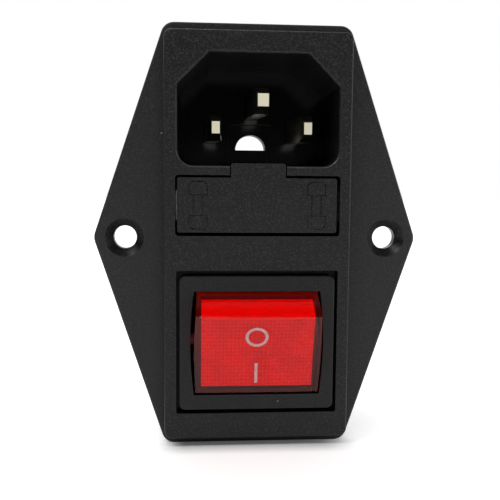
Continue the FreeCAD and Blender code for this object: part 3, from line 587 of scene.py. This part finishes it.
def dippedEnamel():
    # tan lacquer on a small resistor, dipped: glossy, a little lumpy
    material, tree, shader, place = startMaterial("tanLacquerDipped", {"Roughness": enamel["roughness"]})
    lumps = addNode(tree, "ShaderNodeTexNoise", {"Scale": perMm(enamel["lumpMm"])}, {"Vector": place})
    lumpy = addNode(tree, "ShaderNodeMapRange", noiseSpan, {"Value": lumps})
    bump = addNode(tree, "ShaderNodeBump", {"Distance": enamel["lumpDepthMm"] * mm}, {"Height": lumps})
    joinUp(tree, shader, {
        "Base Color": layered(tree, enamel["colour"], [(lumpy, enamel["deeper"])]), "Normal": bump})
    return material


markInk = {
    "colour": "#e8bcbc",  # thin white ink lets some of the red through
    "thin": "#dca29c",
    "wearMm": 0.5,
    "wearDetail": 3.0,
    "wearRange": {"From Min": 0.35, "From Max": 0.7},
    "roughness": 0.55,
    "bend": 1.5,
}


def printedInk():
    # pad-printed white ink: matt and thin, uneven where it was laid less thick
    material, tree, shader, place = startMaterial("whiteInkPadPrinted", {
        "Roughness": markInk["roughness"], "IOR": markInk["bend"]})
    uneven = addNode(tree, "ShaderNodeTexNoise", {
        "Scale": perMm(markInk["wearMm"]), "Detail": markInk["wearDetail"]}, {"Vector": place})
    worn = addNode(tree, "ShaderNodeMapRange", markInk["wearRange"], {"Value": uneven})
    joinUp(tree, shader, {"Base Color": layered(tree, markInk["colour"], [(worn, markInk["thin"])])})
    return material


materials = {
    "black_nylon": mouldedNylon("blackNylonSparkEroded", housingNylon),
    "drawer_nylon": mouldedNylon("blackNylonDrawerSparkEroded", drawerNylon),
    "switch_nylon": mouldedNylon("greyBlackNylonMoulded", switchNylon),
    "carrier_nylon": mouldedNylon("darkNylonMoulded", carrierNylon),
    "clear_red_cap": clearRedPolycarbonate(),
    "red_diffuser": redStyrene(),
    "plunger_acetal": turnedAcetal(),
    "plated_pin": workedMetal("nickelPlatedBrassDrawn", nickelPin),
    "plated_contact": workedMetal("tinPlatedBrassStamped", tinTab),
    "terminal_brass": workedMetal("brassStripStamped", brassTab),
    "lever_copper": workedMetal("copperStripStamped", copperLever),
    "fuse_cap": workedMetal("nickelPlatedCapDrawn", nickelCap),
    "fuse_wire": workedMetal("tinnedFuseWireDrawn", tinnedWire),
    "lead_wire": workedMetal("tinnedCopperWireDrawn", tinnedWire),
    "spring_steel": workedMetal("springSteelWireDrawn", springWire),
    "fuse_glass": drawnGlass("sodaGlassTubeDrawn", fuseGlass),
    "lamp_glass": drawnGlass("lampGlassSealed", fuseGlass),
    "resistor_enamel": dippedEnamel(),
    "mark_ink": printedInk(),
}

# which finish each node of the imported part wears
finishOf = {
    "housing": "black_nylon", "fuse_drawer": "drawer_nylon", "switch_body": "switch_nylon",
    "rocker_cap": "clear_red_cap", "rocker_diffuser": "red_diffuser", "rocker_carrier": "carrier_nylon",
    "neon_lamp": "lamp_glass", "lamp_resistor": "resistor_enamel", "lamp_leads": "lead_wire",
    "line_pin": "plated_pin", "neutral_pin": "plated_pin", "earth_pin": "plated_pin",
}
for pole in ("line", "neutral"):
    finishOf.update({
        pole + "_fuse_glass": "fuse_glass", pole + "_fuse_front_cap": "fuse_cap",
        pole + "_fuse_rear_cap": "fuse_cap", pole + "_fuse_wire": "fuse_wire",
        pole + "_fuse_clip": "plated_contact", pole + "_plunger": "plunger_acetal",
        pole + "_plunger_spring": "spring_steel", pole + "_contact_lever": "lever_copper",
        pole + "_centre_terminal": "terminal_brass", pole + "_end_terminal": "terminal_brass",
    })


def dressNodes():
    for name, node in nodes.items():
        node.data.materials.clear()
        node.data.materials.append(materials[finishOf[name]])


dressNodes()
print("materials made and", len(finishOf), "nodes dressed")


# rocker face: the gridded diffuser moulded against the clear cap, and the two marks on the cap

rockerFace = {
    "radius": 8.42,  # pivot to the ends of the face
    "span": 48.2,  # degrees either side of the face's middle
    "tilt": 15.2,  # degrees that the rocker is turned in its ON position
    "dish": 0.4,  # depth of the hollow face
}
rockerPivot = Vector(joints["rocker_hinge"]["pos_m"]) / mm
rockerTurn = Matrix.Rotation(math.radians(rockerFace["tilt"]), 3, "X")


def turnRocker(level):
    # a point of the level rocker, measured from its pivot, put where the rocker is at rest
    return (rockerPivot + rockerTurn @ level) * mm


def facePoint(x, along, depth):
    # a point under the dished face: along runs up it from the middle, depth is measured inwards
    half = rockerFace["radius"] * math.sin(math.radians(rockerFace["span"]))
    height = rockerFace["radius"] * math.cos(math.radians(rockerFace["span"]))
    dishRadius = (half ** 2 + rockerFace["dish"] ** 2) / (2 * rockerFace["dish"])
    centre = height - rockerFace["dish"] + dishRadius
    return turnRocker(Vector((x, -centre + math.sqrt((dishRadius + depth) ** 2 - along ** 2), along)))


def joinRings(bm, rings, closed):
    # walls from each ring of four points to the next, and ends where the last doesn't meet the first
    count = len(rings)
    for i in range(count if closed else count - 1):
        a, b = rings[i], rings[(i + 1) % count]
        for k in range(4):
            bm.faces.new((a[k], a[(k + 1) % 4], b[(k + 1) % 4], b[k]))
    if not closed:
        bm.faces.new(rings[0])
        bm.faces.new(rings[-1][::-1])


diffuser = {
    "faceDepth": 0.985,  # the cap's wall is 1 thick: the two surfaces touch, so no air shows between them
    "drumRadius": 7.05,
    "wall": 0.9,
    "halfWidth": 8.45,
    "halfLength": 5.6,  # where the face meets the round ends
    "skirt": 1.25,  # how far above the pivot the round ends stop
    "gridPitch": 0.58,
    "gridDepth": 0.14,
    "endSteps": 14,
}


def endAngles(half, radius):
    # where the sections of a round end lie, from the face to the skirt
    first = math.asin(half / radius)
    last = math.acos(diffuser["skirt"] / radius)
    steps = diffuser["endSteps"]
    return [first + (last - first) * i / steps for i in range(1, steps + 1)]


def endPoint(x, angle, radius):
    # a point of the round ends, the angle measured from the face's normal
    return turnRocker(Vector((x, -radius * math.cos(angle), radius * math.sin(angle))))


def diffuserSection(bm, x, inset, rows):
    # one section from the lower end over the face to the upper end, set in by the wall or by nothing
    half = diffuser["halfLength"] - inset
    radius = diffuser["drumRadius"] - inset
    angles = endAngles(half, radius)
    spots = [endPoint(x, -a, radius) for a in reversed(angles)]
    spots += [facePoint(x, half * (2 * r / rows - 1), diffuser["faceDepth"] + inset) for r in range(rows + 1)]
    spots += [endPoint(x, a, radius) for a in angles]
    return [bm.verts.new(spot) for spot in spots]


def makeDiffuser():
    # one shell: a face of low pyramids, two round ends and an open back
    columns = round(2 * diffuser["halfWidth"] / diffuser["gridPitch"])
    rows = round(2 * diffuser["halfLength"] / diffuser["gridPitch"])
    xs = [diffuser["halfWidth"] * (2 * c / columns - 1) for c in range(columns + 1)]
    bm = bmesh.new()
    front = [diffuserSection(bm, x, 0, rows) for x in xs]
    rear = [diffuserSection(bm, x, diffuser["wall"], rows) for x in (xs[0], xs[-1])]
    count = len(front[0])
    steps = diffuser["endSteps"]
    for c in range(columns):
        for k in range(count - 1):
            ring = [front[c][k], front[c + 1][k], front[c + 1][k + 1], front[c][k + 1]]
            if k < steps or k >= steps + rows:
                bm.faces.new(ring)
                continue
            x = (xs[c] + xs[c + 1]) / 2
            along = diffuser["halfLength"] * (2 * (k - steps + 0.5) / rows - 1)
            pit = bm.verts.new(facePoint(x, along, diffuser["faceDepth"] + diffuser["gridDepth"]))
            for i in range(4):
                bm.faces.new((ring[i], ring[(i + 1) % 4], pit))
    for k in range(count - 1):
        bm.faces.new((rear[0][k], rear[0][k + 1], rear[1][k + 1], rear[1][k]))
        bm.faces.new((front[0][k], front[0][k + 1], rear[0][k + 1], rear[0][k]))
        bm.faces.new((front[-1][k], rear[1][k], rear[1][k + 1], front[-1][k + 1]))
    for k in (0, count - 1):
        edge = [front[c][k] for c in range(columns + 1)]
        bm.faces.new(edge + [rear[1][k], rear[0][k]])
    piece = meshPiece("diffuser", bm, materials["red_diffuser"], "rocker")
    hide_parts("rocker_diffuser")


seam = {
    "top": 1.035,  # above the pivot: a hair inside the cap's lower edge
    "bottom": 0.925,  # a hair inside the carrier's plate
    "innerWidth": 8.56,
    "innerLength": 7.36,
    "endWidth": 9.0,
    "midWidth": 9.45,
    "outerLength": 8.3,
    "steps": 16,
}


def makeSeam():
    # the dark seam where the clear cap is welded on its carrier, a flat ring
    bm = bmesh.new()
    top, bottom = seam["top"], seam["bottom"]
    rings = []
    for side in (1, -1):
        for i in range(seam["steps"] + 1):
            share = side * (2 * i / seam["steps"] - 1)
            width = seam["endWidth"] + (seam["midWidth"] - seam["endWidth"]) * (1 - share * share)
            inner = (side * seam["innerWidth"], share * seam["innerLength"])
            outer = (side * width, share * seam["outerLength"])
            rings.append([bm.verts.new(turnRocker(Vector((x, -height, along))))
                          for (x, along), height in ((inner, top), (outer, top), (outer, bottom),
                                                     (inner, bottom))])
    joinRings(bm, rings, True)
    meshPiece("cap_seam", bm, materials["carrier_nylon"], "rocker")


marks = {
    "x": -0.2,  # both marks stand a hair left of the middle
    "ringAlong": 2.9,
    "ringRadius": 1.72,
    "ringSquash": 0.93,  # the ring is a little lower than wide
    "barAlong": -3.1,
    "barLength": 3.2,
    "barSteps": 8,
    "stroke": 0.45,
    "sink": 0.01,
    "stand": 0.02,  # ink stands this far proud of the face
    "steps": 64,
}


def strokeRing(bm, inner, outer):
    # four points round the ink, from one side of its stroke to the other
    stand, sink = -marks["stand"], marks["sink"]
    corners = ((inner, stand), (outer, stand), (outer, sink), (inner, sink))
    return [bm.verts.new(facePoint(*spot, depth)) for spot, depth in corners]


def makeMarks():
    # a ring for off and a bar for on, both laid on the hollow face
    bm = bmesh.new()
    ring = []
    for i in range(marks["steps"]):
        angle = 2 * math.pi * i / marks["steps"]
        pair = []
        for radius in (marks["ringRadius"] - marks["stroke"], marks["ringRadius"]):
            up = radius * marks["ringSquash"] * math.sin(angle)
            pair.append((marks["x"] + radius * math.cos(angle), marks["ringAlong"] + up))
        ring.append(strokeRing(bm, *pair))
    joinRings(bm, ring, True)
    half = marks["stroke"] / 2
    bar = []
    for i in range(marks["barSteps"] + 1):
        along = marks["barAlong"] + marks["barLength"] * (i / marks["barSteps"] - 0.5)
        bar.append(strokeRing(bm, (marks["x"] - half, along), (marks["x"] + half, along)))
    joinRings(bm, bar, False)
    meshPiece("switch_marks", bm, materials["mark_ink"], "rocker")


makeDiffuser()
makeSeam()
makeMarks()
print("rocker face made")


# inside the lamp

electrodes = {
    "radius": 0.2,
    "length": 4.5,
    "apart": 0.55,  # of each rod from the lamp's middle
    "start": -1.2,
    "segments": 20,
}


def makeElectrodes():
    # two nickel rods side by side in the lamp's glass
    low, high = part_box("neon_lamp")
    centre = (low + high) / 2 / mm
    bm = bmesh.new()
    for side in (-1, 1):
        offset = rockerTurn @ Vector((0, 0, side * electrodes["apart"]))
        middle = centre + offset + Vector((electrodes["start"] + electrodes["length"] / 2, 0, 0))
        place = Matrix.Translation(middle * mm) @ Matrix.Rotation(math.pi / 2, 4, "Y")
        bmesh.ops.create_cone(bm, cap_ends=True, segments=electrodes["segments"], matrix=place,
                              radius1=electrodes["radius"] * mm, radius2=electrodes["radius"] * mm,
                              depth=electrodes["length"] * mm)
    meshPiece("lamp_electrodes", bm, materials["lead_wire"], "rocker", smooth=True)


makeElectrodes()
print("lamp filled")


# floor, background and light

stage = {
    "floorHalf": 2.0,  # metres
    "floorColour": "#f4f4f4",
    "floorRoughness": 0.9,
    "floorShine": 0.1,
    "floorLift": (0.42, 0.85),  # white that the floor shows of itself to the eye, near and far
    "liftReach": (0.08, 0.55),  # metres from the object
    "paintedShadowDip": 0.36,  # painted shadow: how much less the floor lifts itself close round the object's foot
    "paintedShadowHalf": 11.0,  # mm either side of the middle
    "paintedShadowEdge": 5.0,  # mm over which the dip fades out sideways
    "paintedShadowDepth": (-8.0, -5.2, 24.0, 30.0),
    "roomColour": "#3a3a3c",  # the dark room behind the camera
    "roomLevel": 0.3,
    "white": "#ffffff",
    "whiteRange": {"From Min": -0.35, "From Max": 0.5},  # how far to the back the room turns white
}


def seenRays(tree, *more):
    # 1 for rays that come from the eye or through glass, and for those of any other kinds named
    rays = addNode(tree, "ShaderNodeLightPath").outputs
    seen = rays["Is Camera Ray"]
    for kind in ("Is Transmission Ray", *more):
        seen = addNode(tree, "ShaderNodeMath", {"operation": "MAXIMUM"}, {0: seen, 1: rays[kind]})
    return seen


def makeFloor():
    half = stage["floorHalf"]
    level = cadBox[0].z
    mesh = bpy.data.meshes.new("floor")
    corners = [(x * half, y * half, level) for x, y in ((-1, -1), (1, -1), (1, 1), (-1, 1))]
    mesh.from_pydata(corners, [], [(0, 1, 2, 3)])
    floor = bpy.data.objects.new("floor", mesh)
    bpy.context.scene.collection.objects.link(floor)
    material, tree, shader, place = startMaterial("paleTableMatt", {
        "Base Color": stage["floorColour"], "Roughness": stage["floorRoughness"],
        "Specular IOR Level": stage["floorShine"], "Emission Color": stage["white"]})
    away = addNode(tree, "ShaderNodeVectorMath", {"operation": "LENGTH"}, {0: place})
    near, far = stage["liftReach"]
    low, high = stage["floorLift"]
    white = addNode(tree, "ShaderNodeMapRange", {
        "From Min": near, "From Max": far, "To Min": low, "To Max": high}, {"Value": away.outputs["Value"]})
    axes = addNode(tree, "ShaderNodeSeparateXYZ", links={"Vector": place}).outputs
    # painted shadow on the floor close round the object's foot
    contact = allOf(tree, between(tree, axes[1], *stage["paintedShadowDepth"]),
                    within(tree, axes[0], stage["paintedShadowHalf"], stage["paintedShadowEdge"]))
    kept = addNode(tree, "ShaderNodeMapRange", {"To Min": 1, "To Max": 1 - stage["paintedShadowDip"] / low},
                   {"Value": contact})
    joinUp(tree, shader, {"Emission Strength": allOf(tree, seenRays(tree, "Is Glossy Ray"), white, kept)})
    mesh.materials.append(material)


def makeWorld():
    # white behind the object, a dimmer room behind the camera, and plain white to the eye
    world = bpy.data.worlds.new("studio")
    bpy.context.scene.world = world
    world.use_nodes = True
    tree = world.node_tree
    tree.nodes.clear()
    direction = addNode(tree, "ShaderNodeTexCoord").outputs["Generated"]
    depth = addNode(tree, "ShaderNodeSeparateXYZ", links={"Vector": direction}).outputs[1]
    behind = addNode(tree, "ShaderNodeMapRange", stage["whiteRange"], {"Value": depth})
    white = addNode(tree, "ShaderNodeMath", {"operation": "MAXIMUM"}, {0: seenRays(tree), 1: behind})
    colour = layered(tree, stage["roomColour"], [(white, stage["white"])])
    strength = addNode(tree, "ShaderNodeMapRange", {"To Min": stage["roomLevel"]}, {"Value": white})
    light = addNode(tree, "ShaderNodeBackground", links={"Color": colour, "Strength": strength})
    addNode(tree, "ShaderNodeOutputWorld", links={"Surface": light})


lamps = {
    "strip": {"place": (-30, -158, 236), "size": (320, 14), "watts": 0.24},  # mm, over the camera
    "key": {"place": (-200, -110, 260), "size": (160, 160), "watts": 0.34},
    "fill": {"place": (300, -70, 60), "size": (200, 200), "watts": 0.40},
    "back": {"place": (-60, 260, 240), "size": (260, 260), "watts": 0.45},
}


def makeLamps():
    for name, lamp in lamps.items():
        data = bpy.data.lights.new(name, "AREA")
        data.energy = lamp["watts"]
        data.shape = "RECTANGLE"
        data.size = lamp["size"][0] * mm
        data.size_y = lamp["size"][1] * mm
        light = bpy.data.objects.new(name, data)
        light.location = Vector(lamp["place"]) * mm
        light.rotation_euler = (-light.location).to_track_quat("-Z", "Y").to_euler()
        bpy.context.scene.collection.objects.link(light)


makeFloor()
makeWorld()
makeLamps()
bpy.context.scene.view_settings.view_transform = "Standard"
print("floor, background and lamps made")
